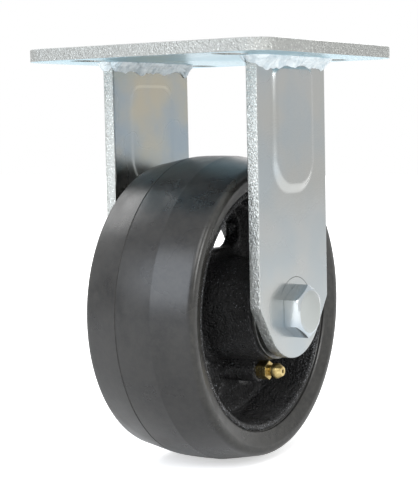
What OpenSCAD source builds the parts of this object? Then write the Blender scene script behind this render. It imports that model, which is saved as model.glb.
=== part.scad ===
// Fixed plate castor: a pressed-steel fork welded under a slotted plate, and a rubber-tyred iron wheel.
// Millimetres. The origin is the centre of the plate's top face, X is the rolling direction, Y is the axle.

/* [Plate] */
// Plate length along the rolling direction
plate_length = 114.3; // [105:0.1:125]
// Plate width along the axle
plate_width = 114.3; // [105:0.1:125]
// Plate thickness
plate_thickness = 5; // [4:0.1:7]
// Radius of the plate's corners
plate_corner_radius = 11; // [6:0.5:14]
// Distance from the plate's end to the middle of a slot
slot_end_margin = 15.08; // [12:0.01:18]
// Distance from the plate's side to the middle of a slot
slot_side_margin = 23.8; // [18:0.1:26]
// Width of a bolt slot
slot_width = 10.32; // [8:0.01:12]
// Length of a bolt slot from end to end
slot_length = 18.3; // [12:0.1:20]

/* [Fork] */
// Height from the floor to the plate's top face
overall_height = 171.45; // [165:0.05:180]
// Clear distance between the two legs
leg_gap = 63.5; // [62:0.1:66]
// Thickness of a leg
leg_thickness = 5; // [4:0.1:6]
// Width of a leg along the rolling direction
leg_width = 56; // [48:0.5:60]
// Radius of the leg's round end about the axle
leg_end_radius = 19.8; // [16:0.1:22]
// Height above the axle where the leg's sides turn inward
leg_shoulder_height = -1.5; // [-4:0.5:8]
// Half width of the pressed pocket at the leg's outer face
pocket_radius = 16; // [12:0.5:18]
// Half width of the pocket's floor
pocket_floor_radius = 13.5; // [10:0.5:16]
// Depth of the pocket
pocket_depth = 2.5; // [1:0.1:3]
// Half width of the raised pad at the leg's inner face
pad_radius = 14.5; // [11:0.5:17]
// Half width of the raised pad's flat top
pad_top_radius = 12.5; // [9:0.5:15]
// Height that the pad stands from the inner face
pad_height = 2; // [1:0.1:3]
// Depth below the plate's top face of the pocket's upper edge
pocket_top_depth = 10.7; // [10:0.1:16]
// Length of the pocket from edge to edge
pocket_length = 48.6; // [40:0.1:56]
// Radius of the pocket's two upper corners
pocket_corner_radius = 7; // [6:0.5:10]

/* [Welds] */
// Size of a fillet weld, from the corner to its edge
weld_size = 5.4; // [3:0.1:6]
// Distance that a weld runs past the leg's edges
weld_overrun = 3.4; // [1:0.1:4]

/* [Wheel] */
// Wheel diameter over the tread
wheel_diameter = 127; // [120:0.1:130]
// Width of the tyre
tread_width = 50.8; // [46:0.1:52]
// Width of the flat crown in the middle of the tread
crown_width = 16.6; // [10:0.1:24]
// Distance that the tread's shoulders are below its crown
shoulder_drop = 3; // [1:0.1:5]
// Distance from the tyre's side in to the shoulder
shoulder_inset = 2.4; // [1:0.1:4]
// Distance from the crown to the edge where the tyre's flat side starts
side_drop = 7.3; // [5:0.1:9]
// Thickness of the tyre from its crown to the rim
tyre_thickness = 12.9; // [10:0.1:15]
// Chamfer between the tyre's side and its shoulder
shoulder_chamfer = 0.8; // [0.4:0.1:1.5]
// Depth that the tyre's side leans in at the rim
side_lean = 2.2; // [0:0.1:4]

/* [Wheel core] */
// Distance that the rim's faces are set in from the tyre's sides
rim_inset = 2.8; // [0:0.1:4]
// Thickness of the rim at its faces
rim_face_thickness = 2.8; // [2:0.1:5]
// Thickness of the rim beside the web
rim_thickness = 4.8; // [4:0.1:7]
// Thickness of the web
web_thickness = 7; // [6:0.5:12]
// Radius of the curves between web, hub and rim
core_fillet = 3; // [2:0.5:3]
// Play between a bearing retainer and its thrust washer
hub_play = 0.45; // [0.2:0.05:1]
// Radius of the hub at its face
hub_face_radius = 20.8; // [20.6:0.1:21]
// Radius of the hub beside the web
hub_root_radius = 21.8; // [21.4:0.1:22]
// Chamfer round the hub's face
hub_chamfer = 0.6; // [0.3:0.1:0.6]
// Number of windows through the web
window_count = 5; // [3:1:5]
// Flat of the web between the hub's curve and a window
window_hub_gap = 0.2; // [0.2:0.1:2]
// Flat of the web between a window and the rim's curve
window_rim_gap = 3.2; // [2:0.1:4]
// Angle along the middle line between the centres of a window's round ends
window_span = 21; // [10:1:24]
// Angle that the windows are turned from a spoke straight below the axle
window_turn = 3; // [-3:0.5:3]

/* [Bearing] */
// Radius of the axle bolt's shank
bolt_radius = 6.35; // [6:0.05:6.5]
// Radial clearance of the bolt in the legs and the sleeve
bolt_clearance = 0.08; // [0.03:0.01:0.1]
// Outer radius of the fixed sleeve that the rollers run on
sleeve_radius = 9.525; // [9:0.025:10]
// Number of rollers
roller_count = 10; // [8:1:10]
// Radius of a roller
roller_radius = 2.75; // [2.5:0.05:3]
// Radial clearance of a roller on each side
roller_clearance = 0.04; // [0.02:0.01:0.08]
// Length of a roller
roller_length = 49; // [44:0.5:50]
// Gap between a roller's end and the cage ring
roller_end_gap = 0.4; // [0.3:0.05:0.6]
// Thickness of a cage ring
cage_ring_thickness = 1.6; // [1:0.1:1.8]
// Radial thickness of a cage ring
cage_ring_width = 4.4; // [3:0.1:4.6]
// Radius of a cage bar
cage_bar_radius = 0.7; // [0.5:0.05:0.8]
// Outer radius of the bearing retainers
retainer_radius = 20.2; // [18:0.1:21]
// Inner radius of the bearing retainers
retainer_bore_radius = 10.2; // [9.9:0.1:11]
// Thickness of a bearing retainer
retainer_thickness = 1.6; // [1:0.1:1.7]
// Outer radius of the thrust washers
washer_radius = 17; // [14:0.5:19]
// Thickness of a thrust washer
washer_thickness = 1.9; // [1.5:0.1:2]
// Radial clearance of a thrust washer on the sleeve
washer_clearance = 0.08; // [0.03:0.01:0.1]

/* [Bolt and nut] */
// Size of the bolt head and the nut across their flats
hex_across_flats = 19.05; // [18:0.05:20]
// Height of the bolt head
head_height = 7; // [6:0.1:8.5]
// Radius of the round faces of the bolt head and the nut
hex_face_radius = 8.6; // [8.5:0.1:9.4]
// Height of the chamfer on the hexagon's corners
hex_chamfer = 1.5; // [0.8:0.1:1.6]
// Height of the nut's hexagon
nut_height = 10; // [9:0.1:12]
// Height of the collar that holds the nylon ring
nut_collar_height = 4; // [3:0.1:5]
// Outer radius of the collar
nut_collar_radius = 8.3; // [8:0.1:9]
// Wall of the collar
nut_collar_wall = 0.8; // [0.6:0.1:1.2]
// Lip that holds the nylon ring in the collar
nut_lip = 0.8; // [0.5:0.1:1.2]
// Length of bolt that shows past the nut
bolt_tip = 2.5; // [1:0.5:5]
// Chamfer on the bolt's end
bolt_tip_chamfer = 1; // [0.5:0.1:1.5]

/* [Grease fitting] */
// Distance from the axle down to the fitting
fitting_radius = 25.5; // [25.4:0.1:26]
// Radius of the boss that the fitting screws into
boss_radius = 5.4; // [5:0.1:6.5]
// Distance of the boss's face from the wheel's middle plane
boss_face = 19.6; // [18:0.1:20]
// Radius of the fitting's threaded shank
fitting_thread_radius = 3; // [2.8:0.05:3.2]
// Radial clearance of the shank in its hole
fitting_thread_clearance = 0.05; // [0.02:0.01:0.1]
// Length of the threaded shank in the boss
fitting_thread_length = 6.4; // [5:0.1:7]
// Size of the fitting's hexagon across its flats
fitting_hex = 7; // [6:0.1:8]
// Height of the fitting's hexagon
fitting_hex_height = 4.4; // [3:0.1:5]
// Radius of the neck below the fitting's head
fitting_neck_radius = 2.3; // [2:0.1:2.6]
// Length of the neck
fitting_neck_length = 1.2; // [1:0.1:3]
// Radius of the fitting's rounded head
fitting_head_radius = 3.2; // [3:0.1:3.4]
// Length of the head
fitting_head_length = 5.2; // [4:0.1:5.3]
// Length of the cone between the neck and the head
fitting_head_cone = 1; // [1:0.1:2]
// Length of the head's straight part
fitting_head_band = 2; // [0.5:0.1:2.5]
// Radius of the head's flat tip
fitting_tip_radius = 1.9; // [1.6:0.1:2.2]
// Radius of the check ball
ball_radius = 1; // [0.8:0.05:1.2]
// Radial clearance round the check ball
ball_clearance = 0.06; // [0.03:0.01:0.1]
// Radius of the mouth that the check ball closes
mouth_radius = 0.75; // [0.5:0.05:0.8]
// Radius of the grease passage
passage_radius = 1.25; // [0.8:0.05:1.5]

/* [Hidden] */
$fn = 72;
cut = 1;
wheel_radius = wheel_diameter / 2;
axle_z = wheel_radius - overall_height;
leg_inner = leg_gap / 2;
leg_outer = leg_inner + leg_thickness;
pocket_top = -pocket_top_depth;
pocket_low = pocket_top - pocket_length + pocket_radius;
shoulder_distance = norm([leg_width / 2, leg_shoulder_height]);
tangent_angle = atan2(leg_shoulder_height, leg_width / 2) - acos(leg_end_radius / shoulder_distance);
tangent_point = leg_end_radius * [cos(tangent_angle), sin(tangent_angle)];
roller_pitch_radius = sleeve_radius + roller_clearance + roller_radius;
hub_bore_radius = roller_pitch_radius + roller_radius + roller_clearance;
hex_corner_radius = hex_across_flats / 2 / cos(30);
hub_half = leg_inner - washer_thickness - retainer_thickness - hub_play;
web_half = web_thickness / 2;
tread_half = tread_width / 2;
rim_half = tread_half - rim_inset;
shoulder_radius = wheel_radius - shoulder_drop;
side_radius = wheel_radius - side_drop;
bond_radius = wheel_radius - tyre_thickness;
rim_face_radius = bond_radius - rim_face_thickness;
rim_inner_radius = bond_radius - rim_thickness;
window_inner = hub_root_radius + core_fillet + window_hub_gap;
window_outer = rim_inner_radius - core_fillet - window_rim_gap;
window_radius = (window_outer - window_inner) / 2;
window_pitch_radius = (window_outer + window_inner) / 2;
fillet_steps = 5;
head_start = boss_face + fitting_hex_height + fitting_neck_length;
head_tip = head_start + fitting_head_length;
ball_seat = sqrt(pow(ball_radius, 2) - pow(mouth_radius, 2));
ball_y = head_tip - mouth_radius - ball_seat;
fitting_end = boss_face - fitting_thread_length;

// Turns a shape made along Z so that it runs along the axle and starts at the given Y.
module along_axle(start) {
    translate([0, start, axle_z]) rotate([-90, 0, 0]) children();
}

module bar(radius, start, finish) {
    along_axle(start) cylinder(r = radius, h = finish - start);
}

module ring(outer, inner, start, finish) {
    difference() {
        bar(outer, start, finish);
        bar(inner, start - cut, finish + cut);
    }
}

// The plate is sheared from strip, with round corners and four slots for the bolts.
module top_plate() {
    corner_x = plate_length / 2 - plate_corner_radius;
    corner_y = plate_width / 2 - plate_corner_radius;
    slot_x = plate_length / 2 - slot_end_margin;
    slot_y = plate_width / 2 - slot_side_margin;
    slot_end = slot_length / 2 - slot_width / 2;
    color("silver") translate([0, 0, -plate_thickness]) linear_extrude(plate_thickness) difference() {
        union() {
            square([plate_length, 2 * corner_y], center = true);
            square([2 * corner_x, plate_width], center = true);
            for (x = [-corner_x, corner_x], y = [-corner_y, corner_y])
                translate([x, y]) circle(r = plate_corner_radius);
        }
        for (x = [-slot_x, slot_x], y = [-slot_y, slot_y]) translate([x, y]) {
            square([2 * slot_end, slot_width], center = true);
            for (end = [-slot_end, slot_end]) translate([end, 0]) circle(r = slot_width / 2);
        }
    }
}

// A form with a round lower end, a squarer top and sloping sides, open at Y = 0 and narrower at its depth.
module pressed_form(open_radius, floor_radius, depth) {
    slope = open_radius - floor_radius;
    corner = pocket_corner_radius - pocket_radius + open_radius;
    corner_x = open_radius - corner;
    corner_z = pocket_top - pocket_radius + open_radius - corner;
    translate([0, 0, pocket_low]) rotate([-90, 0, 0])
        cylinder(r1 = open_radius, r2 = floor_radius, h = depth);
    translate([0, 0, pocket_low]) linear_extrude(corner_z - pocket_low)
        polygon([[-open_radius, 0], [open_radius, 0], [floor_radius, depth], [-floor_radius, depth]]);
    for (x = [-corner_x, corner_x])
        translate([x, 0, corner_z]) rotate([-90, 0, 0])
            cylinder(r1 = corner, r2 = corner - slope, h = depth);
    translate([-corner_x, 0, corner_z]) rotate([90, 0, 90]) linear_extrude(2 * corner_x)
        polygon([[0, 0], [0, corner], [depth, corner - slope], [depth, 0]]);
}

// A leg on the -Y side: a flat strip with a round end, a pocket pressed in and a bore for the bolt.
module leg() {
    color("silver") difference() {
        union() {
            translate([0, -leg_inner, 0]) rotate([90, 0, 0]) linear_extrude(leg_thickness) union() {
                polygon([
                    [-leg_width / 2, -plate_thickness],
                    [-leg_width / 2, axle_z + leg_shoulder_height],
                    [-tangent_point[0], axle_z + tangent_point[1]],
                    [tangent_point[0], axle_z + tangent_point[1]],
                    [leg_width / 2, axle_z + leg_shoulder_height],
                    [leg_width / 2, -plate_thickness]]);
                translate([0, axle_z]) circle(r = leg_end_radius);
            }
            translate([0, -leg_inner, 0]) pressed_form(pad_radius, pad_top_radius, pad_height);
        }
        translate([0, -leg_outer, 0]) pressed_form(pocket_radius, pocket_floor_radius, pocket_depth);
        bar(bolt_radius + bolt_clearance, -leg_outer - cut, -leg_inner + cut);
    }
}

module near_leg() {
    leg();
}

module far_leg() {
    mirror([0, 1, 0]) leg();
}

// A fillet weld in the corner under the plate, along a leg's face at -Y, bulging toward -Y.
module weld_run() {
    length = leg_width + 2 * weld_overrun;
    intersection() {
        translate([-length / 2, 0, -plate_thickness]) rotate([0, 90, 0]) cylinder(r = weld_size, h = length);
        translate([-length / 2, -weld_size, -plate_thickness - weld_size])
            cube([length, weld_size, weld_size]);
    }
}

// The bead returns round each end of the leg.
module weld_return(side) {
    low_x = side > 0 ? leg_width / 2 : -leg_width / 2 - weld_overrun;
    intersection() {
        translate([side * leg_width / 2, 0, -plate_thickness]) rotate([-90, 0, 0])
            cylinder(r = weld_overrun, h = leg_thickness);
        translate([low_x, 0, -plate_thickness - weld_overrun])
            cube([weld_overrun, leg_thickness, weld_overrun]);
    }
}

module outer_weld() {
    color("lightsteelblue") translate([0, -leg_outer, 0]) {
        weld_run();
        weld_return(1);
        weld_return(-1);
    }
}

module inner_weld() {
    color("lightsteelblue") translate([0, -leg_inner, 0]) mirror([0, 1, 0]) weld_run();
}

module near_outer_weld() {
    outer_weld();
}

module near_inner_weld() {
    inner_weld();
}

module far_outer_weld() {
    mirror([0, 1, 0]) outer_weld();
}

module far_inner_weld() {
    mirror([0, 1, 0]) inner_weld();
}

// A hexagon with flats at its sides, chamfered at the end away from Z = 0.
module hexagon(height) {
    intersection() {
        rotate([0, 0, 30]) cylinder(r = hex_corner_radius, h = height, $fn = 6);
        rotate_extrude() polygon([
            [0, 0], [hex_corner_radius + cut, 0], [hex_corner_radius + cut, height - hex_chamfer],
            [hex_face_radius, height], [0, height]]);
    }
}

module axle_bolt() {
    shank_end = leg_outer + nut_height + nut_collar_height + bolt_tip;
    color("gainsboro") {
        translate([0, -leg_outer, axle_z]) rotate([90, 0, 0]) hexagon(head_height);
        bar(bolt_radius, -leg_outer, shank_end - bolt_tip_chamfer);
        along_axle(shank_end - bolt_tip_chamfer)
            cylinder(r1 = bolt_radius, r2 = bolt_radius - bolt_tip_chamfer, h = bolt_tip_chamfer);
    }
}

module axle_nut() {
    collar_start = leg_outer + nut_height;
    collar_end = collar_start + nut_collar_height;
    color("gainsboro") difference() {
        union() {
            along_axle(leg_outer) hexagon(nut_height);
            bar(nut_collar_radius, collar_start - hex_chamfer, collar_end);
        }
        bar(bolt_radius + bolt_clearance, leg_outer - cut, collar_end + cut);
        bar(nut_collar_radius - nut_collar_wall, collar_start, collar_end - nut_lip);
    }
}

// The nylon ring grips the thread so that the nut stays put.
module nut_insert() {
    collar_start = leg_outer + nut_height;
    color("dodgerblue") ring(nut_collar_radius - nut_collar_wall, bolt_radius + bolt_clearance,
        collar_start, collar_start + nut_collar_height - nut_lip);
}

// The legs clamp the sleeve, so the nut can be tight while the wheel turns.
module axle_sleeve() {
    color("gray") ring(sleeve_radius, bolt_radius + bolt_clearance, -leg_inner, leg_inner);
}

module near_washer() {
    color("darkgray")
        ring(washer_radius, sleeve_radius + washer_clearance, -leg_inner, -leg_inner + washer_thickness);
}

module far_washer() {
    mirror([0, 1, 0]) near_washer();
}

module near_retainer() {
    color("dimgray") ring(retainer_radius, retainer_bore_radius, -hub_half - retainer_thickness, -hub_half);
}

module far_retainer() {
    mirror([0, 1, 0]) near_retainer();
}

// Half of the core's section, from the bore to the rim, as radius and distance from the middle plane.
hub_curve = [for (i = [0:fillet_steps]) [
    hub_root_radius + core_fillet + core_fillet * cos(180 - 90 * i / fillet_steps),
    web_half + core_fillet - core_fillet * sin(180 - 90 * i / fillet_steps)]];
rim_curve = [for (i = [0:fillet_steps]) [
    rim_inner_radius - core_fillet + core_fillet * cos(90 - 90 * i / fillet_steps),
    web_half + core_fillet - core_fillet * sin(90 - 90 * i / fillet_steps)]];
core_half = concat(
    [[hub_bore_radius, hub_half], [hub_face_radius - hub_chamfer, hub_half]],
    [[hub_face_radius, hub_half - hub_chamfer]],
    hub_curve, rim_curve, [[rim_face_radius, rim_half], [bond_radius, rim_half]]);
core_section = concat(core_half, [for (i = [len(core_half) - 1:-1:0]) [core_half[i][0], -core_half[i][1]]]);

// A window follows an arc about the axle between two round ends.
module window() {
    for (side = [-1, 1]) rotate_about_axle(side * window_span / 2)
        translate([window_pitch_radius, 0, 0]) bar(window_radius, -boss_face, boss_face);
    translate([0, -boss_face, axle_z]) rotate([-90, -window_span / 2, 0])
        rotate_extrude(angle = window_span) translate([window_pitch_radius - window_radius, 0])
            square([2 * window_radius, 2 * boss_face]);
}

// The core is one iron casting: hub, web with windows, rim and the boss for the grease fitting.
module wheel_core() {
    color([0.12, 0.12, 0.13]) difference() {
        union() {
            along_axle(0) rotate_extrude() polygon(core_section);
            translate([0, 0, -fitting_radius]) bar(boss_radius, -boss_face, 0);
        }
        for (i = [0:window_count - 1])
            rotate_about_axle(90 - window_turn + 360 * (i + 0.5) / window_count) window();
        translate([0, 0, -fitting_radius]) {
            bar(fitting_thread_radius + fitting_thread_clearance, -boss_face - cut, -fitting_end);
            bar(passage_radius, -fitting_end - cut, 0);
        }
        translate([0, 0, axle_z - fitting_radius])
            cylinder(r = passage_radius, h = fitting_radius - hub_bore_radius + cut);
        bar(hub_bore_radius, -hub_half - cut, hub_half + cut);
    }
}

module rotate_about_axle(angle) {
    translate([0, 0, axle_z]) rotate([0, angle, 0]) translate([0, 0, -axle_z]) children();
}

// The tyre is rubber moulded onto the rim.
module tyre() {
    section = [
        [bond_radius, side_lean - tread_half], [side_radius, -tread_half],
        [shoulder_radius - shoulder_chamfer, shoulder_chamfer - tread_half],
        [shoulder_radius, shoulder_inset - tread_half], [wheel_radius, -crown_width / 2],
        [wheel_radius, crown_width / 2], [shoulder_radius, tread_half - shoulder_inset],
        [shoulder_radius - shoulder_chamfer, tread_half - shoulder_chamfer],
        [side_radius, tread_half], [bond_radius, tread_half - side_lean]];
    color([0.3, 0.3, 0.29]) along_axle(0) rotate_extrude() polygon(section);
}

module roller_cage() {
    ring_start = roller_length / 2 + roller_end_gap;
    bar_end = ring_start + cage_ring_thickness / 2;
    ring_inner = roller_pitch_radius - cage_ring_width / 2;
    ring_outer = roller_pitch_radius + cage_ring_width / 2;
    color("goldenrod") {
        ring(ring_outer, ring_inner, -ring_start - cage_ring_thickness, -ring_start);
        ring(ring_outer, ring_inner, ring_start, ring_start + cage_ring_thickness);
        for (i = [1:roller_count]) rotate_about_axle(360 * (i + 0.5) / roller_count)
            translate([roller_pitch_radius, 0, 0]) bar(cage_bar_radius, -bar_end, bar_end);
    }
}

module roller(i) {
    color("lightgray") rotate_about_axle(360 * i / roller_count)
        translate([roller_pitch_radius, 0, 0]) bar(roller_radius, -roller_length / 2, roller_length / 2);
}

// The fitting takes a grease gun, and its check ball keeps dirt out.
module grease_fitting() {
    band_start = head_start + fitting_head_cone;
    color("goldenrod") translate([0, 0, axle_z - fitting_radius]) rotate([90, 0, 0]) difference() {
        union() {
            translate([0, 0, fitting_end]) cylinder(r = fitting_thread_radius, h = fitting_thread_length);
            translate([0, 0, boss_face]) rotate([0, 0, 30])
                cylinder(r = fitting_hex / 2 / cos(30), h = fitting_hex_height, $fn = 6);
            rotate_extrude() polygon([
                [0, boss_face], [fitting_neck_radius, boss_face], [fitting_neck_radius, head_start],
                [fitting_head_radius, band_start], [fitting_head_radius, band_start + fitting_head_band],
                [fitting_tip_radius, head_tip], [0, head_tip]]);
        }
        translate([0, 0, fitting_end - cut])
            cylinder(r = ball_radius + ball_clearance, h = ball_y - fitting_end + cut);
        translate([0, 0, ball_y]) sphere(r = ball_radius + ball_clearance);
        translate([0, 0, ball_y]) cylinder(r = mouth_radius, h = head_tip - ball_y + cut);
    }
}

module check_ball() {
    color("lightgray") translate([0, -ball_y, axle_z - fitting_radius]) sphere(r = ball_radius);
}

top_plate();
near_leg();
far_leg();
near_outer_weld();
near_inner_weld();
far_outer_weld();
far_inner_weld();
axle_bolt();
axle_nut();
nut_insert();
axle_sleeve();
near_washer();
far_washer();
wheel_core();
tyre();
near_retainer();
far_retainer();
roller_cage();
grease_fitting();
check_ball();
for (i = [1:roller_count])
    roller(i);
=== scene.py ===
# %% [markdown]
# A fixed castor in Blender
#
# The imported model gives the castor's frame: every body, joint and node at its true size. This lesson dresses it. Pieces
# whose plain CAD solid already looks right only get a better material. Pieces whose edges, castings or mouldings carry
# the likeness are modelled again here, in the same place.

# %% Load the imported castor
import math

import bmesh
import bpy
from mathutils import Matrix, Vector, noise


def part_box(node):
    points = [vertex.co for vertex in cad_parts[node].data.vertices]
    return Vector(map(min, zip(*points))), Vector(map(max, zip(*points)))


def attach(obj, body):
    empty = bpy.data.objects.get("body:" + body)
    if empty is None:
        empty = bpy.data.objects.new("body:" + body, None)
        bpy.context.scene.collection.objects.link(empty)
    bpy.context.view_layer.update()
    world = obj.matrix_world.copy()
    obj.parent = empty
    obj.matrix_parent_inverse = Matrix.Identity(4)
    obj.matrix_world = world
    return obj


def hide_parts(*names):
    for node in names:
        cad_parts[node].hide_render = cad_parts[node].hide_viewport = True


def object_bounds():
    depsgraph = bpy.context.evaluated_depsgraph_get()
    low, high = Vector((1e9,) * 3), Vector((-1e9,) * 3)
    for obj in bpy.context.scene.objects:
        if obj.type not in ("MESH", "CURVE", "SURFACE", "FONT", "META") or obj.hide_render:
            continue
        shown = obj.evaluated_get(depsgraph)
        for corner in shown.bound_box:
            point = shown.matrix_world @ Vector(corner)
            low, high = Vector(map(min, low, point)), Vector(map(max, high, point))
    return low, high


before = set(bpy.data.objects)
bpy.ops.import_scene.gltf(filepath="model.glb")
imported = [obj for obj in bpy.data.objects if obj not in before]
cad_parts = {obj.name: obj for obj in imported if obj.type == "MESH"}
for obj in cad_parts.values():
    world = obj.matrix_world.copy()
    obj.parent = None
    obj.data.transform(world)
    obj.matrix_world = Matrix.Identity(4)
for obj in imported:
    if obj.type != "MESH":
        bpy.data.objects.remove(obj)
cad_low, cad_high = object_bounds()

MM = 0.001

# %% [markdown]
# The frame gives the sizes that the new pieces share. The axle's height is the middle of the tyre's box, a leg's inner
# face is where the sleeve between the legs ends, and one roller's box tells how far the rollers reach. Reading them
# here keeps every new piece on its CAD node.

# %% Measure the frame
tyre_low, tyre_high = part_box("tyre")
plate_low, plate_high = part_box("top_plate")
leg_low, leg_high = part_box("near_leg")
AXLE = Vector((0, 0, (tyre_low.z + tyre_high.z) / 2))
WHEEL_RADIUS = (tyre_high.z - tyre_low.z) / 2
TREAD_HALF = tyre_high.y
LEG_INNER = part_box("axle_sleeve")[1].y
LEG_OUTER = -leg_low.y
LEG_HALF_WIDTH = leg_high.x
PLATE_UNDERSIDE = plate_low.z
ROLLERS_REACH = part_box("roller_10")[1].x
print("axle height", AXLE.z, "wheel radius", WHEEL_RADIUS, "leg", LEG_INNER, LEG_OUTER, LEG_HALF_WIDTH,
      "rollers reach", ROLLERS_REACH)

# %% [markdown]
# The camera comes before the pieces, so that a look is possible at any stage. Its place, its turn and its focal length
# were found by least squares: the plate's edges, the legs' edges and the wheel's outline, projected, lie on the same
# edges of the photograph. The picture is 418 pixels wide and 500 high, and Blender's sensor width belongs to the
# longer side.

# %% Set the camera
PICTURE_HEIGHT = 500
FOCAL_PIXELS = 1445.6
SENSOR = 36.0
CAMERA_PLACE = Vector((-513.46, -321.85, -32.49)) * MM
CAMERA_YAW, CAMERA_PITCH, CAMERA_ROLL = (math.radians(a) for a in (57.56, -4.86, -1.19))

def aim_camera():
    forward = Vector((math.sin(CAMERA_YAW) * math.cos(CAMERA_PITCH), math.cos(CAMERA_YAW) * math.cos(CAMERA_PITCH),
                      math.sin(CAMERA_PITCH)))
    level = Vector((math.cos(CAMERA_YAW), -math.sin(CAMERA_YAW), 0))
    upright = level.cross(forward)
    right = level * math.cos(CAMERA_ROLL) + upright * math.sin(CAMERA_ROLL)
    up = upright * math.cos(CAMERA_ROLL) - level * math.sin(CAMERA_ROLL)
    turn = Matrix((right, up, -forward)).transposed()
    data = bpy.data.cameras.new("photo_camera")
    data.sensor_width = SENSOR
    data.lens = FOCAL_PIXELS * SENSOR / PICTURE_HEIGHT
    data.clip_start, data.clip_end = 0.01, 20
    camera = bpy.data.objects.new("photo_camera", data)
    camera.matrix_world = Matrix.Translation(CAMERA_PLACE) @ turn.to_4x4()
    bpy.context.scene.collection.objects.link(camera)
    bpy.context.scene.camera = camera
    return camera

camera = aim_camera()
print("lens", round(camera.data.lens, 2), "mm")

# %% [markdown]
# The studio starts with a white world. The camera and mirror-like surfaces see it at a strength of 1, which is white.
# Other rays see it dimmer, so that the lamps shape the castor.

# %% Make the white world
def node_of(tree, kind, **sockets):
    made = tree.nodes.new(kind)
    for name, value in sockets.items():
        made.inputs[name.replace("_", " ")].default_value = value
    return made

WORLD_LIGHT = 0.55
world = bpy.data.worlds.new("white_world")
bpy.context.scene.world = world
world.use_nodes = True
sky = world.node_tree
sky.nodes.clear()
path = sky.nodes.new("ShaderNodeLightPath")
seen = sky.nodes.new("ShaderNodeMath")
seen.operation = "MAXIMUM"
seen_through = sky.nodes.new("ShaderNodeMath")
seen_through.operation = "MAXIMUM"
strength = sky.nodes.new("ShaderNodeMapRange")
strength.inputs["To Min"].default_value = WORLD_LIGHT
strength.inputs["To Max"].default_value = 1.0
background = node_of(sky, "ShaderNodeBackground", Color=(1, 1, 1, 1))
sky_out = sky.nodes.new("ShaderNodeOutputWorld")
sky.links.new(path.outputs["Is Camera Ray"], seen.inputs[0])
sky.links.new(path.outputs["Is Glossy Ray"], seen.inputs[1])
sky.links.new(seen.outputs[0], seen_through.inputs[0])
sky.links.new(path.outputs["Is Transmission Ray"], seen_through.inputs[1])
sky.links.new(seen_through.outputs[0], strength.inputs["Value"])
sky.links.new(strength.outputs["Result"], background.inputs["Strength"])
sky.links.new(background.outputs[0], sky_out.inputs["Surface"])
print("world light", WORLD_LIGHT)

# %% [markdown]
# Five broad lamps look at the axle. The key lamp hangs over the camera, and the window lamp at the camera's left is a
# little blue. The front lamp lights the near leg from the right, and the other two stand behind the castor.

# %% Hang the lamps
def soft_lamp(name, place, size, power, colour=(1, 1, 1)):
    data = bpy.data.lights.new(name, "AREA")
    data.shape = "DISK"
    data.size = size
    data.energy = power
    data.color = colour
    lamp = bpy.data.objects.new(name, data)
    lamp.location = place
    lamp.rotation_euler = (AXLE - Vector(place)).to_track_quat("-Z", "Y").to_euler()
    bpy.context.scene.collection.objects.link(lamp)
    return lamp

soft_lamp("key_lamp", (-0.75, -0.55, 0.75), 0.7, 5.5)
soft_lamp("window_lamp", (-1.0, 0.25, 0.35), 0.8, 8.0, (0.86, 0.92, 1.0))
soft_lamp("right_lamp", (1.05, 0.2, 0.3), 0.6, 3.0)
soft_lamp("front_lamp", (-0.1, -1.1, 0.3), 0.4, 5.0)
soft_lamp("back_lamp", (0.1, 0.9, 0.8), 0.8, 5.0)
bpy.context.scene.view_settings.view_transform = "Standard"

# %% [markdown]
# The floor is pale. It adds light of its own for the camera, more of it away from the castor, and reflections see a
# part of that light. The castor's shadow stays on the floor.

# %% Lay the floor
FLOOR_SIZE = 6.0
GLOW_NEAR, GLOW_FAR, GLOW_MIRRORED = 0.36, 1.0, 0.42
GLOW_STARTS, GLOW_FULL = 0.1, 0.3
slab = bmesh.new()
bmesh.ops.create_grid(slab, x_segments=1, y_segments=1, size=FLOOR_SIZE / 2)
bmesh.ops.translate(slab, verts=slab.verts, vec=(0, 0, cad_low.z))
floor_mesh = bpy.data.meshes.new("studio_floor")
slab.to_mesh(floor_mesh)
slab.free()
floor = bpy.data.objects.new("studio_floor", floor_mesh)
bpy.context.scene.collection.objects.link(floor)
floor_paint = bpy.data.materials.new("pale_floor")
floor_paint.use_nodes = True
paint = floor_paint.node_tree
paint.nodes.clear()
matt = node_of(paint, "ShaderNodeBsdfDiffuse", Color=(0.86, 0.86, 0.86, 1))
glow = node_of(paint, "ShaderNodeEmission", Color=(1, 1, 1, 1))
floor_path = paint.nodes.new("ShaderNodeLightPath")
glow_level = paint.nodes.new("ShaderNodeMath")
glow_level.operation = "MULTIPLY"
floor_place = paint.nodes.new("ShaderNodeTexCoord")
floor_distance = paint.nodes.new("ShaderNodeVectorMath")
floor_distance.operation = "LENGTH"
glow_range = paint.nodes.new("ShaderNodeMapRange")
glow_range.interpolation_type = "SMOOTHSTEP"
for label, value in (("From Min", GLOW_STARTS), ("From Max", GLOW_FULL), ("To Min", GLOW_NEAR), ("To Max", GLOW_FAR)):
    glow_range.inputs[label].default_value = value
paint.links.new(floor_place.outputs["Object"], floor_distance.inputs[0])
paint.links.new(floor_distance.outputs["Value"], glow_range.inputs["Value"])
paint.links.new(glow_range.outputs["Result"], glow_level.inputs[1])
both = paint.nodes.new("ShaderNodeAddShader")
floor_out = paint.nodes.new("ShaderNodeOutputMaterial")
floor_seen = paint.nodes.new("ShaderNodeMath")
floor_seen.operation = "MAXIMUM"
paint.links.new(floor_path.outputs["Is Camera Ray"], floor_seen.inputs[0])
floor_mirrored = paint.nodes.new("ShaderNodeMath")
floor_mirrored.operation = "MULTIPLY"
floor_mirrored.inputs[1].default_value = GLOW_MIRRORED
paint.links.new(floor_path.outputs["Is Glossy Ray"], floor_mirrored.inputs[0])
paint.links.new(floor_mirrored.outputs[0], floor_seen.inputs[1])
paint.links.new(floor_seen.outputs[0], glow_level.inputs[0])
paint.links.new(glow_level.outputs[0], glow.inputs["Strength"])
paint.links.new(matt.outputs[0], both.inputs[0])
paint.links.new(glow.outputs[0], both.inputs[1])
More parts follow.
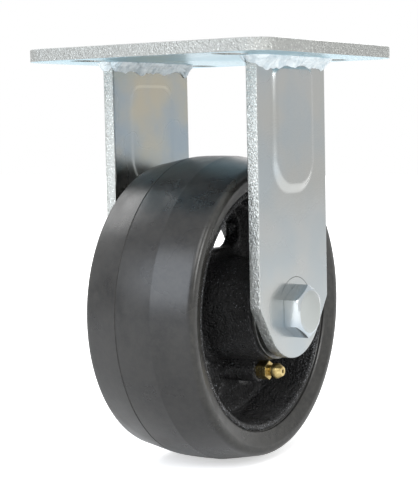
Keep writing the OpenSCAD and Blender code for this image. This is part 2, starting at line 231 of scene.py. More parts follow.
paint.links.new(both.outputs[0], floor_out.inputs["Surface"])
floor.data.materials.append(floor_paint)
print("floor at", cad_low.z)

# %% [markdown]
# Several finishes share the same small effects: soft clouds of tone, a fine grain, specks, and masks that tell which
# way a surface looks or how far it is from the axle. Each is a shader node group. It puts out a mask, a height or a
# distance, and the material decides what that changes.

# %% Make the shared effects
def effect_group(name, inputs, outputs):
    group = bpy.data.node_groups.new(name, "ShaderNodeTree")
    for label, value in inputs:
        socket = group.interface.new_socket(label, in_out="INPUT", socket_type="NodeSocketFloat")
        socket.default_value = value
    for label in outputs:
        group.interface.new_socket(label, in_out="OUTPUT", socket_type="NodeSocketFloat")
    entry = group.nodes.new("NodeGroupInput")
    exit_node = group.nodes.new("NodeGroupOutput")
    place = group.nodes.new("ShaderNodeTexCoord")
    return group, entry, exit_node, place

def clouds_group():
    group, entry, leave, place = effect_group(
        "tone_clouds", [("Size", 60.0), ("Softness", 0.5), ("Stretch", 0.6)], ["Clouds"])
    broad = group.nodes.new("ShaderNodeTexNoise")
    broad.inputs["Detail"].default_value = 4.0
    spread = group.nodes.new("ShaderNodeMapRange")
    spread.interpolation_type = "SMOOTHSTEP"
    spread.inputs["From Min"].default_value = 0.32
    spread.inputs["From Max"].default_value = 0.68
    group.links.new(place.outputs["Object"], broad.inputs["Vector"])
    group.links.new(entry.outputs["Size"], broad.inputs["Scale"])
    group.links.new(entry.outputs["Softness"], broad.inputs["Roughness"])
    group.links.new(entry.outputs["Stretch"], broad.inputs["Distortion"])
    group.links.new(broad.outputs["Fac"], spread.inputs["Value"])
    group.links.new(spread.outputs["Result"], leave.inputs["Clouds"])
    return group

def grain_group():
    group, entry, leave, place = effect_group("fine_grain", [("Size", 1500.0), ("Coarse Size", 420.0)], ["Height"])
    fine = group.nodes.new("ShaderNodeTexNoise")
    fine.inputs["Detail"].default_value = 3.0
    coarse = group.nodes.new("ShaderNodeTexNoise")
    coarse.inputs["Detail"].default_value = 2.0
    total = group.nodes.new("ShaderNodeMath")
    total.operation = "ADD"
    for texture, size in ((fine, "Size"), (coarse, "Coarse Size")):
        group.links.new(place.outputs["Object"], texture.inputs["Vector"])
        group.links.new(entry.outputs[size], texture.inputs["Scale"])
    group.links.new(fine.outputs["Fac"], total.inputs[0])
    group.links.new(coarse.outputs["Fac"], total.inputs[1])
    group.links.new(total.outputs[0], leave.inputs["Height"])
    return group

def specks_group():
    group, entry, leave, place = effect_group("specks", [("Size", 900.0), ("Amount", 0.3)], ["Specks"])
    cells = group.nodes.new("ShaderNodeTexVoronoi")
    chance = group.nodes.new("ShaderNodeSeparateColor")
    pick = group.nodes.new("ShaderNodeMath")
    pick.operation = "LESS_THAN"
    near = group.nodes.new("ShaderNodeMapRange")
    near.inputs["From Min"].default_value = 0.42
    near.inputs["From Max"].default_value = 0.18
    kept = group.nodes.new("ShaderNodeMath")
    kept.operation = "MULTIPLY"
    group.links.new(place.outputs["Object"], cells.inputs["Vector"])
    group.links.new(entry.outputs["Size"], cells.inputs["Scale"])
    group.links.new(cells.outputs["Color"], chance.inputs["Color"])
    group.links.new(chance.outputs["Red"], pick.inputs[0])
    group.links.new(entry.outputs["Amount"], pick.inputs[1])
    group.links.new(cells.outputs["Distance"], near.inputs["Value"])
    group.links.new(near.outputs["Result"], kept.inputs[0])
    group.links.new(pick.outputs[0], kept.inputs[1])
    group.links.new(kept.outputs[0], leave.inputs["Specks"])
    return group

def facing_group():
    """Masks of where a surface looks: across Y, across Z (a strip's sheared edges), down, or straight along Y."""
    group, _, leave, place = effect_group("facing", [], ["Across Y", "Across Z", "Underside", "Square To Y"])
    parts = group.nodes.new("ShaderNodeSeparateXYZ")
    group.links.new(place.outputs["Normal"], parts.inputs[0])
    for label, axis, operation, start, finish in (
            ("Across Y", "Y", "ABSOLUTE", 0.75, 0.35), ("Across Z", "Z", "ABSOLUTE", 0.75, 0.35),
            ("Underside", "Z", "MULTIPLY", 0.5, 0.9), ("Square To Y", "Y", "ABSOLUTE", 0.96, 0.99)):
        turned = group.nodes.new("ShaderNodeMath")
        turned.operation = operation
        turned.inputs[1].default_value = -1.0
        ranged = group.nodes.new("ShaderNodeMapRange")
        ranged.interpolation_type = "SMOOTHSTEP"
        ranged.inputs["From Min"].default_value = start
        ranged.inputs["From Max"].default_value = finish
        group.links.new(parts.outputs[axis], turned.inputs[0])
        group.links.new(turned.outputs[0], ranged.inputs["Value"])
        group.links.new(ranged.outputs["Result"], leave.inputs[label])
    return group

def around_axle_group():
    """How far a point is from the axle's line, and how high it is over it, in metres."""
    group, _, leave, place = effect_group("around_axle", [], ["Distance", "Height"])
    parts = group.nodes.new("ShaderNodeSeparateXYZ")
    height = group.nodes.new("ShaderNodeMath")
    height.operation = "SUBTRACT"
    height.inputs[1].default_value = AXLE.z
    flat = group.nodes.new("ShaderNodeCombineXYZ")
    length = group.nodes.new("ShaderNodeVectorMath")
    length.operation = "LENGTH"
    group.links.new(place.outputs["Object"], parts.inputs[0])
    group.links.new(parts.outputs["X"], flat.inputs["X"])
    group.links.new(parts.outputs["Z"], height.inputs[0])
    group.links.new(height.outputs[0], flat.inputs["Z"])
    group.links.new(flat.outputs[0], length.inputs[0])
    group.links.new(length.outputs["Value"], leave.inputs["Distance"])
    group.links.new(height.outputs[0], leave.inputs["Height"])
    return group

CLOUDS, GRAIN, SPECKS, FACING, AROUND_AXLE = (
    clouds_group(), grain_group(), specks_group(), facing_group(), around_axle_group())
print("effects", [g.name for g in (CLOUDS, GRAIN, SPECKS, FACING, AROUND_AXLE)])

# %% [markdown]
# A finish starts from a Principled shader. These helpers place an effect in it, mix two tones by a mask, turn a mask
# into a range of roughness, and feed a height to Bump. Colours are written as the eye sees them, from 0 to 255.

# %% Make the finish helpers
def tone(red, green, blue):
    def linear(value):
        value = value / 255
        return value / 12.92 if value <= 0.04045 else ((value + 0.055) / 1.055) ** 2.4
    return (linear(red), linear(green), linear(blue), 1)

def new_finish(name, metallic, roughness):
    material = bpy.data.materials.new(name)
    material.use_nodes = True
    tree = material.node_tree
    shader = tree.nodes["Principled BSDF"]
    shader.inputs["Metallic"].default_value = metallic
    shader.inputs["Roughness"].default_value = roughness
    return material, tree, shader

def effect(tree, group, output=0, **inputs):
    placed = tree.nodes.new("ShaderNodeGroup")
    placed.node_tree = group
    for name, value in inputs.items():
        placed.inputs[name.replace("_", " ")].default_value = value
    return placed.outputs[output]

def mix_tones(tree, mask, first, second):
    mixed = tree.nodes.new("ShaderNodeMix")
    mixed.data_type = "RGBA"
    tree.links.new(mask, mixed.inputs["Factor"])
    for socket, value in ((mixed.inputs[6], first), (mixed.inputs[7], second)):
        if isinstance(value, tuple):
            socket.default_value = value
        else:
            tree.links.new(value, socket)
    return mixed.outputs[2]

def past(tree, value, start, finish):
    """A mask that rises from 0 to 1 while the value goes from start to finish."""
    ranged = tree.nodes.new("ShaderNodeMapRange")
    ranged.inputs["From Min"].default_value = start
    ranged.inputs["From Max"].default_value = finish
    tree.links.new(value, ranged.inputs["Value"])
    return ranged.outputs["Result"]

def between(tree, mask, low, high):
    ranged = tree.nodes.new("ShaderNodeMapRange")
    ranged.inputs["To Min"].default_value = low
    ranged.inputs["To Max"].default_value = high
    tree.links.new(mask, ranged.inputs["Value"])
    return ranged.outputs["Result"]

def combine(tree, operation, first, second):
    sum_node = tree.nodes.new("ShaderNodeMath")
    sum_node.operation = operation
    for socket, value in ((sum_node.inputs[0], first), (sum_node.inputs[1], second)):
        if isinstance(value, (int, float)):
            socket.default_value = value
        else:
            tree.links.new(value, socket)
    return sum_node.outputs[0]

def raise_bump(tree, shader, height, depth, amount=1.0):
    bump = tree.nodes.new("ShaderNodeBump")
    bump.inputs["Distance"].default_value = depth
    bump.inputs["Strength"].default_value = amount
    tree.links.new(height, bump.inputs["Height"])
    tree.links.new(bump.outputs["Normal"], shader.inputs["Normal"])

# %% [markdown]
# Bright zinc plate is a thin, cool grey coat that half mirrors what is near it. Its tone drifts in soft clouds, and a
# faint blue shows in places. Strip that was sheared has rough edges under the same zinc, a little lighter, with painted
# highlights for their glints: bright specks mixed into the colour.
# The mask for those edges comes from the surface's own direction, so one finish serves the faces and the edges. The
# plate's underside is the bluest part, a painted reflection, the far leg has a tan stain from the bath, and the near
# leg has a painted shadow, a thin dark arc over the bolt. The flat ends of the bolt and nut have painted shade, a
# darker tone.

# %% Make the zinc finishes
FLAT_END_SHADE_TONE, UNDERSIDE_REFLECTION_TONE, SHADOW_RING_TONE = tone(168, 172, 170), tone(158, 194, 207), tone(84, 86, 84)
RING_INNER, RING_OUTER, RING_FADE = 13.85 * MM, 14.0 * MM, 0.15 * MM
RING_FROM, RING_FULL = 7 * MM, 10 * MM

def zinc_finish(name, face_tone, cool_tone, warm_tone, edge_tone, edges_across, gloss=(0.24, 0.4),
                painted_shadow_ring=False):
    material, tree, shader = new_finish(name, 1.0, 0.3)
    clouds = effect(tree, CLOUDS, Size=38.0, Softness=0.5, Stretch=0.1)
    drift = effect(tree, CLOUDS, Size=21.0, Softness=0.4, Stretch=0.1)
    face = mix_tones(tree, clouds, mix_tones(tree, drift, warm_tone, face_tone), cool_tone)
    if edges_across is None:
        # Painted shade: faces square to Y, the flat ends of the bolt and nut, take a darker tone than the rest.
        flat_end = effect(tree, FACING, "Square To Y")
        colour = mix_tones(tree, flat_end, face, FLAT_END_SHADE_TONE)
        rough = combine(tree, "ADD", between(tree, clouds, *gloss), combine(tree, "MULTIPLY", flat_end, 0.2))
        height = effect(tree, GRAIN, Size=2600.0, Coarse_Size=300.0)
        raise_bump(tree, shader, height, 0.00002, 0.5)
    else:
        edges = effect(tree, FACING, edges_across)
        # Painted highlights: bright specks of the edge tone, mixed into a duller edge colour, stand in for the sheared
        # edges' glints.
        glints = effect(tree, SPECKS, Size=1250.0, Amount=0.42)
        dull = tuple(0.58 * v for v in edge_tone[:3]) + (1,)
        colour = mix_tones(tree, edges, face, mix_tones(tree, glints, dull, edge_tone))
        rough = combine(tree, "ADD", between(tree, drift, *gloss), combine(tree, "MULTIPLY", edges, 0.16))
        grain = effect(tree, GRAIN, Size=1500.0, Coarse_Size=650.0)
        height = combine(tree, "MULTIPLY", grain, between(tree, edges, 0.03, 1.0))
        raise_bump(tree, shader, height, 0.0006, 1.0)
    # Painted shadow: a thin dark arc on the leg around the bolt, on its upper side only.
    if painted_shadow_ring:
        distance = effect(tree, AROUND_AXLE, "Distance")
        inside = past(tree, distance, RING_INNER - RING_FADE, RING_INNER)
        outside = past(tree, distance, RING_OUTER + RING_FADE, RING_OUTER)
        upper = past(tree, effect(tree, AROUND_AXLE, "Height"), RING_FROM, RING_FULL)
        shadow_ring_mask = combine(tree, "MULTIPLY", combine(tree, "MULTIPLY", inside, outside), upper)
        colour = mix_tones(tree, shadow_ring_mask, colour, SHADOW_RING_TONE)
    # Painted reflection: on the plate, faces that look down take a lighter blue tone.
    if edges_across == "Across Z":
        colour = mix_tones(tree, effect(tree, FACING, "Underside"), colour, UNDERSIDE_REFLECTION_TONE)
    tree.links.new(colour, shader.inputs["Base Color"])
    tree.links.new(rough, shader.inputs["Roughness"])
    return material

near_leg_zinc = zinc_finish("near_leg_zinc", tone(168, 171, 171), tone(160, 167, 170), tone(169, 170, 167),
                            tone(228, 231, 228), "Across Y", (0.17, 0.32), painted_shadow_ring=True)
far_leg_zinc = zinc_finish("far_leg_zinc", tone(166, 168, 162), tone(148, 160, 169), tone(172, 167, 152),
                           tone(222, 225, 222), "Across Y", (0.17, 0.32))
plate_zinc = zinc_finish("plate_zinc", tone(166, 169, 169), tone(150, 157, 162), tone(166, 165, 158),
                         tone(200, 202, 199), "Across Z")
fastener_zinc = zinc_finish("fastener_zinc", tone(196, 201, 202), tone(160, 174, 186), tone(190, 193, 192),
                            None, None, (0.16, 0.28))
print("zinc finishes made")

# %% [markdown]
# The other finishes: pale weld bead, black paint over sand-cast iron, moulded rubber, turned brass, dull pressed steel
# and ground bearing steel. The black paint is smooth, but the sand's texture shows through it as small glints: some
# from a glossy coat on specks, and painted highlights, bright specks in the colour, in patches and along the rim.

# %% Make the other finishes
def weld_finish():
    material, tree, shader = new_finish("weld_metal", 0.15, 0.4)
    clouds = effect(tree, CLOUDS, Size=240.0, Softness=0.6, Stretch=1.0)
    tree.links.new(mix_tones(tree, clouds, tone(238, 245, 247), tone(206, 217, 222)), shader.inputs["Base Color"])
    tree.links.new(between(tree, clouds, 0.28, 0.5), shader.inputs["Roughness"])
    raise_bump(tree, shader, effect(tree, GRAIN, Size=900.0, Coarse_Size=300.0), 0.0004, 0.7)
    return material

def cast_finish():
    material, tree, shader = new_finish("black_cast_iron", 0.0, 0.3)
    shader.inputs["Specular IOR Level"].default_value = 0.3
    shader.inputs["Coat Roughness"].default_value = 0.12
    glints = effect(tree, SPECKS, Size=1150.0, Amount=0.5)
    tree.links.new(between(tree, glints, 0.08, 1.0), shader.inputs["Coat Weight"])
    clouds = effect(tree, CLOUDS, Size=90.0, Softness=0.6, Stretch=0.5)
    # Painted highlights: bright specks in the colour, in cloudy patches and in a band along the rim, stand in for
    # glints of light.
    painted_glint_patches = effect(tree, CLOUDS, Size=110.0, Softness=0.6, Stretch=0.0)
    painted_glints = combine(tree, "MULTIPLY", effect(tree, SPECKS, Size=1350.0, Amount=0.14), painted_glint_patches)
    rim = past(tree, effect(tree, AROUND_AXLE, "Distance"), 47.0 * MM, 48.0 * MM)
    rim_painted_glints = combine(tree, "MULTIPLY", effect(tree, SPECKS, Size=1250.0, Amount=0.5), rim)
    painted_glints = combine(tree, "MAXIMUM", painted_glints, rim_painted_glints)
    body = mix_tones(tree, clouds, tone(19, 19, 20), tone(31, 31, 31))
    tree.links.new(mix_tones(tree, painted_glints, body, tone(130, 132, 136)), shader.inputs["Base Color"])
    tree.links.new(between(tree, clouds, 0.24, 0.5), shader.inputs["Roughness"])
    raise_bump(tree, shader, effect(tree, GRAIN, Size=1300.0, Coarse_Size=560.0), 0.0016, 1.0)
    return material

def rubber_finish():
    material, tree, shader = new_finish("moulded_rubber", 0.0, 0.4)
    shader.inputs["Specular IOR Level"].default_value = 0.4
    clouds = effect(tree, CLOUDS, Size=24.0, Softness=0.55, Stretch=0.2)
    smudges = effect(tree, CLOUDS, Size=70.0, Softness=0.5, Stretch=0.2)
    tread = mix_tones(tree, clouds, tone(22, 23, 25), tone(34, 34, 34))
    tread = mix_tones(tree, combine(tree, "MULTIPLY", smudges, 0.35), tread, tone(56, 55, 53))
    mottle = effect(tree, CLOUDS, Size=420.0, Softness=0.7, Stretch=0.0)
    tread = mix_tones(tree, combine(tree, "MULTIPLY", mottle, 0.3), tread, tone(58, 56, 53))
    side = mix_tones(tree, mottle, tone(34, 34, 32), tone(50, 49, 46))
    colour = mix_tones(tree, effect(tree, FACING, "Across Y"), side, tread)
    tree.links.new(colour, shader.inputs["Base Color"])
    tree.links.new(between(tree, combine(tree, "MULTIPLY", clouds, smudges), 0.27, 0.44), shader.inputs["Roughness"])
    raise_bump(tree, shader, effect(tree, GRAIN, Size=2200.0, Coarse_Size=180.0), 0.00006, 0.5)
    return material

def metal_finish(name, light, dark, gloss, size=300.0):
    material, tree, shader = new_finish(name, 1.0, gloss[0])
    clouds = effect(tree, CLOUDS, Size=size, Softness=0.6, Stretch=0.6)
    tree.links.new(mix_tones(tree, clouds, light, dark), shader.inputs["Base Color"])
    tree.links.new(between(tree, clouds, *gloss), shader.inputs["Roughness"])
    raise_bump(tree, shader, effect(tree, GRAIN, Size=2600.0, Coarse_Size=700.0), 0.00004, 0.5)
    return material

def nylon_finish():
    material, tree, shader = new_finish("blue_nylon", 0.0, 0.45)
    clouds = effect(tree, CLOUDS, Size=200.0, Softness=0.4, Stretch=0.2)
    tree.links.new(mix_tones(tree, clouds, tone(40, 82, 168), tone(34, 70, 150)), shader.inputs["Base Color"])
    return material

weld_metal, black_iron, rubber, nylon = weld_finish(), cast_finish(), rubber_finish(), nylon_finish()
brass = metal_finish("turned_brass", tone(204, 184, 128), tone(164, 142, 90), (0.26, 0.42))
dull_steel = metal_finish("dull_steel", tone(120, 120, 118), tone(88, 88, 86), (0.34, 0.5))
ground_steel = metal_finish("ground_steel", tone(176, 176, 174), tone(150, 150, 148), (0.14, 0.26))
print("finishes made")

# %% [markdown]
# Every new piece goes through the same two steps. One turns a bmesh into an object, shades it smooth up to a crease
# angle, gives it its finish, hangs it on the body it rides on and hides the CAD nodes it stands for. The other gives a
# carried-over CAD node its finish.

# %% Make the piece helpers
def finish_piece(name, shape, body, material, nodes=(), crease=35):
    bmesh.ops.recalc_face_normals(shape, faces=shape.faces)
    mesh = bpy.data.meshes.new(name)
    shape.to_mesh(mesh)
    shape.free()
    mesh.shade_smooth()
    mesh.set_sharp_from_angle(angle=math.radians(crease))
    mesh.materials.append(material)
    piece = bpy.data.objects.new(name, mesh)
    bpy.context.scene.collection.objects.link(piece)
    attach(piece, body)
    if nodes:
        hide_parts(*nodes)
    print(name, len(mesh.vertices), "vertices")
    return piece

def paint_node(node, material):
    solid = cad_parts[node]
    if not solid.material_slots:
        solid.data.materials.append(material)
    for slot in solid.material_slots:
        slot.material = material

def merged_copy(node):
    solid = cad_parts[node]
    shape = bmesh.new()
    shape.from_mesh(solid.data)
    shape.transform(solid.matrix_world)
    bmesh.ops.remove_doubles(shape, verts=shape.verts, dist=0.002 * MM)
    bmesh.ops.dissolve_limit(shape, angle_limit=math.radians(0.6), verts=shape.verts, edges=shape.edges)
    return shape

def sharp_edges(shape, degrees, keep=lambda middle: True):
    found = []
    for edge in shape.edges:
        if len(edge.link_faces) == 2 and edge.calc_face_angle(0) > math.radians(degrees):
            if keep((edge.verts[0].co + edge.verts[1].co) / 2):
                found.append(edge)
    return found

def round_edges(shape, edges, radius, segments=2):
    bmesh.ops.bevel(shape, geom=edges, offset=radius, offset_type="OFFSET", segments=segments, profile=0.5,
                    affect="EDGES", clamp_overlap=True, material=-1)

for node, material in (("axle_sleeve", ground_steel), ("near_washer", ground_steel), ("far_washer", ground_steel),
                       ("nut_insert", nylon), ("roller_cage", dull_steel), ("check_ball", ground_steel)):
    paint_node(node, material)
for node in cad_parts:
    if node.startswith("roller_") and node != "roller_cage":
        paint_node(node, ground_steel)

# %% [markdown]
# The top plate is sheared from strip and punched. Shearing drags the lower edge into a soft roll and leaves the upper
# edge nearly square. A merged copy of the CAD plate gets a wide rounding below and a narrow one above.

# %% Model the top plate
plate = merged_copy("top_plate")
PLATE_MIDDLE = (plate_low.z + plate_high.z) / 2
round_edges(plate, sharp_edges(plate, 40, lambda m: m.z < PLATE_MIDDLE), 0.9 * MM, 3)
round_edges(plate, sharp_edges(plate, 40, lambda m: m.z > plate_high.z - 0.1 * MM), 0.4 * MM, 2)
finish_piece("plate_strip", plate, "fork", plate_zinc, ["top_plate"], crease=18)

# %% [markdown]
# Each leg is a strip with a round lower end and a long form pressed outward, raised on the outer face and hollow on the
# inner one. The press leaves soft walls, so each face is a grid whose points are pushed out by a smooth step. The
# grid's rows narrow to follow the round end, and its border is extruded over a rolled edge to the inner face. The CAD's
# legs have the form the other way round, and the photograph decides here.

# %% Model the legs
LEG_END_RADIUS = 23.0 * MM
END_CENTRE = leg_low.z + 0.5 * MM + LEG_END_RADIUS
SHOULDER_HEIGHT = 0.0 * MM
EDGE_ROLL = 0.5 * MM
RAISED = {"edge": 17.3 * MM, "floor": 14.2 * MM, "depth": 1.3 * MM, "top": -6.6 * MM, "low": -59.4 * MM}
HOLLOW = {"edge": 15.6 * MM, "floor": 14.6 * MM, "depth": 0.3 * MM, "top": -14.2 * MM, "low": -57.7 * MM}
TOP_CORNER, LOW_CORNER = 7.0 * MM, 14.0 * MM
COLUMNS, STRAIGHT_ROWS, END_ROWS = 62, 128, 26
OUTER_ROLL = ((0.30, 0.04), (0.15, 0.14), (0.05, 0.32))
INNER_ROLL = ((0.30, -0.05), (0.20, -0.25))
shoulder = Vector((LEG_HALF_WIDTH, SHOULDER_HEIGHT))
TANGENT = math.atan2(shoulder.y, shoulder.x) - math.acos(LEG_END_RADIUS / shoulder.length)
LAST_ANGLE = math.radians(-88)

def smooth_step(value, edge, floor):
    part = min(max((edge - value) / (edge - floor), 0), 1)
    return part * part * (3 - 2 * part)

def pressed(x, z, form):
    """How far the form pushes the leg's face out: a long shape with rounded corners, larger ones at its low end."""
    if z > (form["top"] + form["low"]) / 2:
        corner = TOP_CORNER
        over = z - (form["top"] - corner)
    else:
        corner = LOW_CORNER
        over = form["low"] + corner - z
    right = abs(x) - (form["edge"] - corner)
    across = form["edge"] - corner + math.hypot(max(right, 0), max(over, 0)) + min(max(right, over), 0)
    return form["depth"] * smooth_step(across, form["edge"], form["floor"])

def leg_row(row):
    """A row's height over the middle of the round end and its half width, inside the rolled edge."""
    radius = LEG_END_RADIUS - EDGE_ROLL
    touch = radius * Vector((math.cos(TANGENT), math.sin(TANGENT)))
    if row > STRAIGHT_ROWS:
        turn = TANGENT + (LAST_ANGLE - TANGENT) * (row - STRAIGHT_ROWS) / END_ROWS
        return radius * math.sin(turn), radius * math.cos(turn)
    top = PLATE_UNDERSIDE - END_CENTRE
    height = top + (touch.y - top) * row / STRAIGHT_ROWS
    straight = LEG_HALF_WIDTH - EDGE_ROLL
    part = min(max((SHOULDER_HEIGHT - height) / (SHOULDER_HEIGHT - touch.y), 0), 1)
    return height, straight + (touch.x - straight) * part

def outward(x, z):
    """The direction out of the leg's outline at a point on it."""
    height = z - END_CENTRE
    side = 1 if x > 0 else -1
    if z > PLATE_UNDERSIDE - 0.01 * MM:
        return Vector((0, 0, 0))
    if height >= SHOULDER_HEIGHT - 0.5 * MM:
        return Vector((side, 0, 0))
    if height >= LEG_END_RADIUS * math.sin(TANGENT):
        return Vector((side * math.cos(TANGENT), 0, math.sin(TANGENT)))
    return Vector((x, 0, height)).normalized()

def roll_edge(shape, edges, steps):
    """Extrudes a border in steps, each so many millimetres outward and along Y, and gives back the last border."""
    for grow, along in steps:
        extruded = bmesh.ops.extrude_edge_only(shape, edges=edges)["geom"]
        edges = [part for part in extruded if isinstance(part, bmesh.types.BMEdge) and part.is_boundary]
        for point in {vertex for edge in edges for vertex in edge.verts}:
            point.co += outward(point.co.x, point.co.z) * grow * MM + Vector((0, along * MM, 0))
    return edges

def leg_shape():
    shape = bmesh.new()
    rows = STRAIGHT_ROWS + END_ROWS
    for face_y, form in ((-LEG_OUTER, RAISED), (-LEG_INNER, HOLLOW)):
        made = bmesh.ops.create_grid(shape, x_segments=COLUMNS, y_segments=rows, size=1)["verts"]
        for point in made:
            row = round((1 - point.co.y) / 2 * rows)
            height, half = leg_row(row)
            x, z = point.co.x * half, END_CENTRE + height
            point.co = Vector((x, face_y - pressed(x, z, form), z))
    borders = [edge for edge in shape.edges if edge.is_boundary]
    outer = [edge for edge in borders if abs(edge.verts[0].co.y + LEG_OUTER) < 0.1 * MM]
    inner = [edge for edge in borders if abs(edge.verts[0].co.y + LEG_INNER) < 0.1 * MM]
    rolled = roll_edge(shape, outer, OUTER_ROLL) + roll_edge(shape, inner, INNER_ROLL)
    bmesh.ops.bridge_loops(shape, edges=rolled)
    return shape

def mirrored(shape):
    bmesh.ops.scale(shape, verts=shape.verts, vec=(1, -1, 1))
    return shape

finish_piece("near_leg_strip", leg_shape(), "fork", near_leg_zinc, ["near_leg"], crease=50)
finish_piece("far_leg_strip", mirrored(leg_shape()), "fork", far_leg_zinc, ["far_leg"], crease=50)

# %% [markdown]
# A hand-laid fillet weld fills the corner with a slightly hollow face. Its edges wander, it runs past the leg's ends,
# and here and there it has sagged into a drip. A grid is wrapped into a tube along the corner, and its size follows
# two scales of seeded noise.

# %% Lay the welds
WELD_STEPS, WELD_AROUND = 170, 16
WELD_SIZE, RETURN_SIZE, INNER_SIZE, INNER_OVERRUN = 5.0 * MM, 4.0 * MM, 4.3 * MM, 1.0 * MM
PUDDLE_PITCH = 2.9 * MM
PUDDLES, ROUGHNESS, WANDERING, SAG = 0.03, 0.10, 0.22, 0.7
HOLLOWNESS = 0.28
TAPER_LENGTH = 2.2 * MM

def weld_path(part, face, back, returns):
    """A point on the corner between leg and plate, the direction away from the leg, and the bead's size there."""
    away = 1 if face > 0 else -1
    if not returns:
        half = LEG_HALF_WIDTH + INNER_OVERRUN
        return Vector((part * 2 * half - half, face, 0)), Vector((0, -away, 0)), INNER_SIZE
    half, depth = LEG_HALF_WIDTH, abs(back - face)
    total = 2 * half + 2 * depth
    along = part * total
    if along < depth:
        return Vector((-half, back + (face - back) * along / depth, 0)), Vector((-1, 0, 0)), RETURN_SIZE
    if along > total - depth:
        return Vector((half, face + (back - face) * (along - total + depth) / depth, 0)), Vector((1, 0, 0)), RETURN_SIZE
    x = along - depth - half
    turn = smooth_step(half - abs(x), 3.0 * MM, 0)
    direction = Vector((math.copysign(turn, x), away * (1 - 0.6 * turn), 0)).normalized()
    return Vector((x, face, 0)), direction, WELD_SIZE + (RETURN_SIZE - WELD_SIZE) * turn * 0.7

def weld_shape(face, back, returns, seed):
    shape = bmesh.new()
    points = bmesh.ops.create_grid(shape, x_segments=WELD_STEPS, y_segments=WELD_AROUND, size=1)["verts"]
    for point in points:
        part = (point.co.x + 1) / 2
        turn = round((point.co.y + 1) / 2 * WELD_AROUND)
        corner, direction, size = weld_path(part, face, back, returns)
        place = part * 2 * LEG_HALF_WIDTH
        wander = noise.noise(Vector((place * 130, 0.0, seed + 5.0)))
        puddle = 0.5 + 0.5 * math.cos(math.tau * place / PUDDLE_PITCH + 4.0 * wander)
        rough = noise.noise(Vector((place * 330, turn * 0.9, seed)))
        drip = max(noise.noise(Vector((place * 190, 3.3, seed))), 0.0)
        size *= 0.88 + PUDDLES * puddle + ROUGHNESS * rough + WANDERING * wander
        ends = min(part, 1 - part) * 2 * LEG_HALF_WIDTH / TAPER_LENGTH
        size *= math.sqrt(min(max(ends, 0.0), 1.0)) * 0.8 + 0.2
        if turn in (0, WELD_AROUND):
            offset, drop = -0.25 * MM, 0.0
        else:
            angle = math.radians(90) * (turn - 1) / (WELD_AROUND - 2)
            bulge = 1.0 - HOLLOWNESS * math.sin(2 * angle)
            offset = size * bulge * math.cos(angle)
            drop = size * bulge * math.sin(angle) * (1 + SAG * drip)
        point.co = corner + direction * offset + Vector((0, 0, PLATE_UNDERSIDE + 0.02 * MM - drop))
    bmesh.ops.remove_doubles(shape, verts=shape.verts, dist=0.003 * MM)
    bmesh.ops.holes_fill(shape, edges=[edge for edge in shape.edges if edge.is_boundary], sides=0)
    return shape

for side, sign in (("near", -1), ("far", 1)):
    face, back = sign * LEG_OUTER, sign * LEG_INNER
    finish_piece(f"{side}_outer_bead", weld_shape(face, back, True, 3.1 + sign), "fork", weld_metal,
                 [f"{side}_outer_weld"], crease=60)
    finish_piece(f"{side}_inner_bead", weld_shape(back, face, False, 7.4 + sign), "fork", weld_metal,
                 [f"{side}_inner_weld"], crease=60)

# %% [markdown]
# The bolt, its nut and the retainers are bought parts with crisp forms, and the CAD solids are right. A merged copy
# with a small rounding on each edge catches the light as the real edges do.

# %% Round the fasteners and the retainers
for node, name, body, slot, material, radius in (
        ("axle_bolt", "axle_bolt_steel", "fork", "zinc_fastener", fastener_zinc, 0.18),
        ("axle_nut", "lock_nut", "fork", "zinc_fastener", fastener_zinc, 0.18),
        ("near_retainer", "near_retainer_ring", "wheel", "retainer_steel", dull_steel, 0.3),
        ("far_retainer", "far_retainer_ring", "wheel", "retainer_steel", dull_steel, 0.3),
        ("grease_fitting", "grease_nipple", "wheel", "brass", brass, 0.15)):
    part = merged_copy(node)
    round_edges(part, sharp_edges(part, 40), radius * MM, 2)
    finish_piece(name, part, body, material, [node], crease=18)

# %% [markdown]
# The wheel core is cast in sand, so nothing on it is sharp: each corner is round and each face slightly uneven. A copy
# of the CAD casting is rebuilt as even small cells with the Remesh modifier, then smoothed and pushed about by a
# little seeded noise. The bore alone is machined, so its points are set back to one radius, clear of the rollers.

# %% Cast the wheel core
CELL = 0.85 * MM
SMOOTHING = 4
BORE_BAND, BORE_ROOM = 1.2 * MM, 0.25 * MM
LUMPS = ((180, 0.10 * MM), (620, 0.05 * MM))

def cast_core():
    rough = merged_copy("wheel_core")
    bmesh.ops.triangulate(rough, faces=rough.faces)
    mesh = bpy.data.meshes.new("core_pattern")
    rough.to_mesh(mesh)
    rough.free()
    pattern = bpy.data.objects.new("core_pattern", mesh)
    bpy.context.scene.collection.objects.link(pattern)
    cells = pattern.modifiers.new("cells", "REMESH")
    cells.mode = "VOXEL"
    cells.voxel_size = CELL
    bpy.context.view_layer.update()
    solid = pattern.evaluated_get(bpy.context.evaluated_depsgraph_get())
    shape = bmesh.new()
    shape.from_mesh(solid.to_mesh())
    solid.to_mesh_clear()
    bpy.data.objects.remove(pattern)
    for _ in range(SMOOTHING):
        bmesh.ops.smooth_vert(shape, verts=shape.verts, factor=0.5, use_axis_x=True, use_axis_y=True, use_axis_z=True)
    shape.normal_update()
    for point in shape.verts:
        from_axle = Vector((point.co.x, 0, point.co.z - AXLE.z))
        if from_axle.length < ROLLERS_REACH + BORE_BAND:
            point.co += from_axle.normalized() * (ROLLERS_REACH + BORE_ROOM - from_axle.length)
        else:
            point.co += point.normal * sum(noise.noise(point.co * often) * high for often, high in LUMPS)
    return shape

finish_piece("cast_core", cast_core(), "wheel", black_iron, ["wheel_core"], crease=60)

# %% [markdown]
# The tyre is moulded onto the rim. Its section has a flat crown, a long slope to each shoulder, a round shoulder and a
# side that leans in to the rim. Where the mould's parts met, a thin groove runs along the far edge of the crown, and
# the near edge is a soft crease. The section is drawn once as a closed loop and spun about the axle.

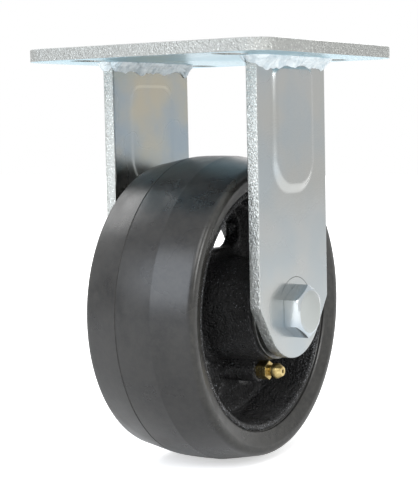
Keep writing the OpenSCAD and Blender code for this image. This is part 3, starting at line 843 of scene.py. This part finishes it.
# %% Mould the tyre
CROWN_HALF = 8.3
SLOPE_START, SLOPE_DROP, SLOPE_LENGTH = 0.62, 2.28, 11.9
SHOULDER_ROUND, SHOULDER_CENTRE = 2.6, 57.9

def lathe(section, steps):
    """Spins a closed section, given as radius and distance along the axle in millimetres."""
    shape = bmesh.new()
    points = [shape.verts.new((0, y * MM, AXLE.z + radius * MM)) for radius, y in section]
    edges = [shape.edges.new((points[i - 1], points[i])) for i in range(len(points))]
    bmesh.ops.spin(shape, geom=points + edges, cent=AXLE, axis=(0, 1, 0), angle=math.tau, steps=steps, use_merge=True)
    bmesh.ops.remove_doubles(shape, verts=shape.verts, dist=0.001 * MM)
    return shape

radius_mm, half_mm = WHEEL_RADIUS / MM, TREAD_HALF / MM
half_section = [(radius_mm - SLOPE_START - SLOPE_DROP * part, CROWN_HALF + 2.6 + SLOPE_LENGTH * part)
                for part in (0, 0.25, 0.5, 0.75, 1)]
for degrees in range(15, 91, 15):
    turn = math.radians(degrees)
    half_section.append((SHOULDER_CENTRE + SHOULDER_ROUND * math.cos(turn),
                         half_mm - SHOULDER_ROUND + SHOULDER_ROUND * math.sin(turn)))
half_section += [(57.0, half_mm), (56.4, half_mm - 0.06), (55.9, half_mm - 0.24), (54.0, half_mm - 0.95),
                 (52.0, half_mm - 1.7), (51.2, half_mm - 2.05), (50.85, half_mm - 2.4), (50.7, half_mm - 3.2),
                 (49.6, half_mm - 4.2)]
crown = [(2.0, 0.0), (4.5, 0.04), (CROWN_HALF - 1.6, 0.12)]
far_crown = crown + [(CROWN_HALF - 0.35, 0.2), (CROWN_HALF - 0.1, 0.55), (CROWN_HALF + 0.15, 0.55)]
far_crown += [(CROWN_HALF + 0.4, 0.3)]
near_crown = crown + [(CROWN_HALF - 0.5, 0.13), (CROWN_HALF - 0.1, 0.14), (CROWN_HALF + 0.4, 0.26)]
section = [(radius_mm - drop, y) for y, drop in far_crown] + half_section
section += [(r, -y) for r, y in reversed(half_section)] + [(radius_mm - drop, -y) for y, drop in reversed(near_crown)]
finish_piece("moulded_tyre", lathe(section, 200), "wheel", rubber, ["tyre"], crease=28)
